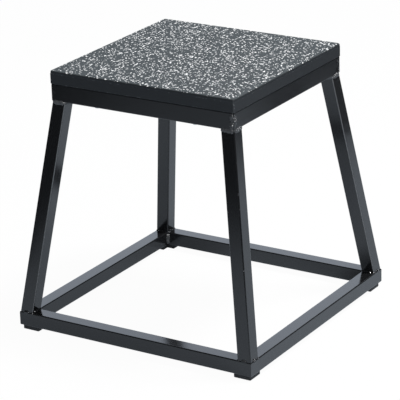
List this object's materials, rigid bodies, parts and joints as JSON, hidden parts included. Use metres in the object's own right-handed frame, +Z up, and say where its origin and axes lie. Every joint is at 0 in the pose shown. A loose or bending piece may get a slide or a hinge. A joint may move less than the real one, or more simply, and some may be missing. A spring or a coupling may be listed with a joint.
{
  "type": "plyo box",
  "caption": "Square plyometric jump box: splayed tube legs on a welded base ring carry a flat flecked rubber deck to jump or step on.",
  "frame": {"origin": "on the floor under the centre of the box", "axes": "+Z up through the centre of the deck, -Y towards the front side, +X towards the right side"},
  "size_m": [0.461, 0.461, 0.457],
  "materials": {
    "tread_rubber": "dark grey crumb rubber with pale flecks, matt",
    "deck_board": "plywood sealed black, matt",
    "frame_coat": "black powder coat, semi-gloss",
    "weld_coat": "weld beads under the same black powder coat, semi-gloss",
    "foot_rubber": "moulded black rubber, matt",
    "zinc_steel": "bright zinc plate"
  },
  "bodies": {
    "root": {"tread_mat": "tread_rubber", "deck_board": "deck_board", "deck_tee_nuts": "zinc_steel", "deck_bolts": "zinc_steel", "deck_washers": "zinc_steel", "top_corner_welds": "weld_coat", "leg_top_welds": "weld_coat", "leg_base_welds": "weld_coat", "base_corner_welds": "weld_coat", "foot_screws": "zinc_steel", "foot_washers": "zinc_steel", "top_rail_front": "frame_coat", "top_rail_right": "frame_coat", "top_rail_back": "frame_coat", "top_rail_left": "frame_coat", "base_rail_front": "frame_coat", "base_rail_right": "frame_coat", "base_rail_back": "frame_coat", "base_rail_left": "frame_coat", "leg_back_right": "frame_coat", "leg_back_left": "frame_coat", "leg_front_left": "frame_coat", "leg_front_right": "frame_coat", "foot_back_right": "foot_rubber", "foot_back_left": "foot_rubber", "foot_front_left": "foot_rubber", "foot_front_right": "foot_rubber"}
  },
  "joints": []
}
